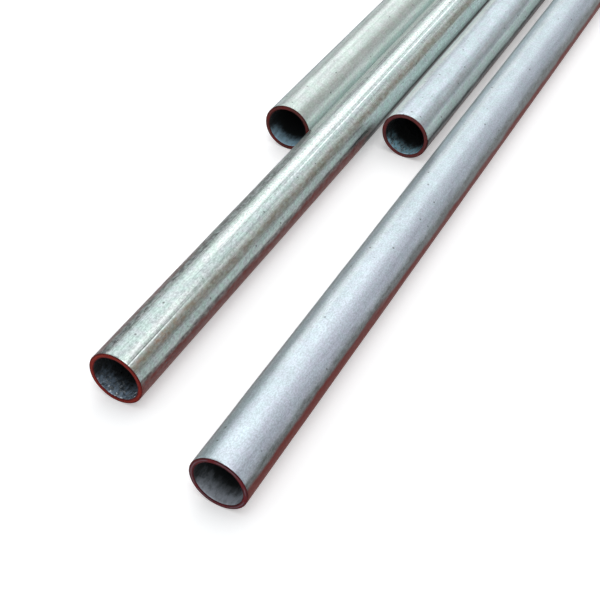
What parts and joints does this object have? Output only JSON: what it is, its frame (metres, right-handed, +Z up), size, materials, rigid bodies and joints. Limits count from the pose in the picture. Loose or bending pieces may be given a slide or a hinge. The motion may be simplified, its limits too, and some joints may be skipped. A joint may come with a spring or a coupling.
{
  "type": "stack of steel tubes",
  "caption": "Straight round galvanised steel tubes of one size, lying loose side by side with staggered open ends, as raw stock for scaffolding, rails and frames.",
  "frame": {"origin": "middle of the stack's footprint, at floor level", "axes": "+Y down the length of the tubes, away from the front ends that the picture shows; +X to the right as seen from the front ends; +Z up"},
  "size_m": [0.2156, 2.4592, 0.0483],
  "materials": {
    "galvanised_steel": "hot-dip galvanised, pale grey, satin to dull, with brown stains and dull red sawn ends"
  },
  "bodies": {
    "root": {"tube_1": "galvanised_steel", "tube_2": "galvanised_steel", "tube_3": "galvanised_steel", "tube_4": "galvanised_steel"}
  },
  "joints": []
}
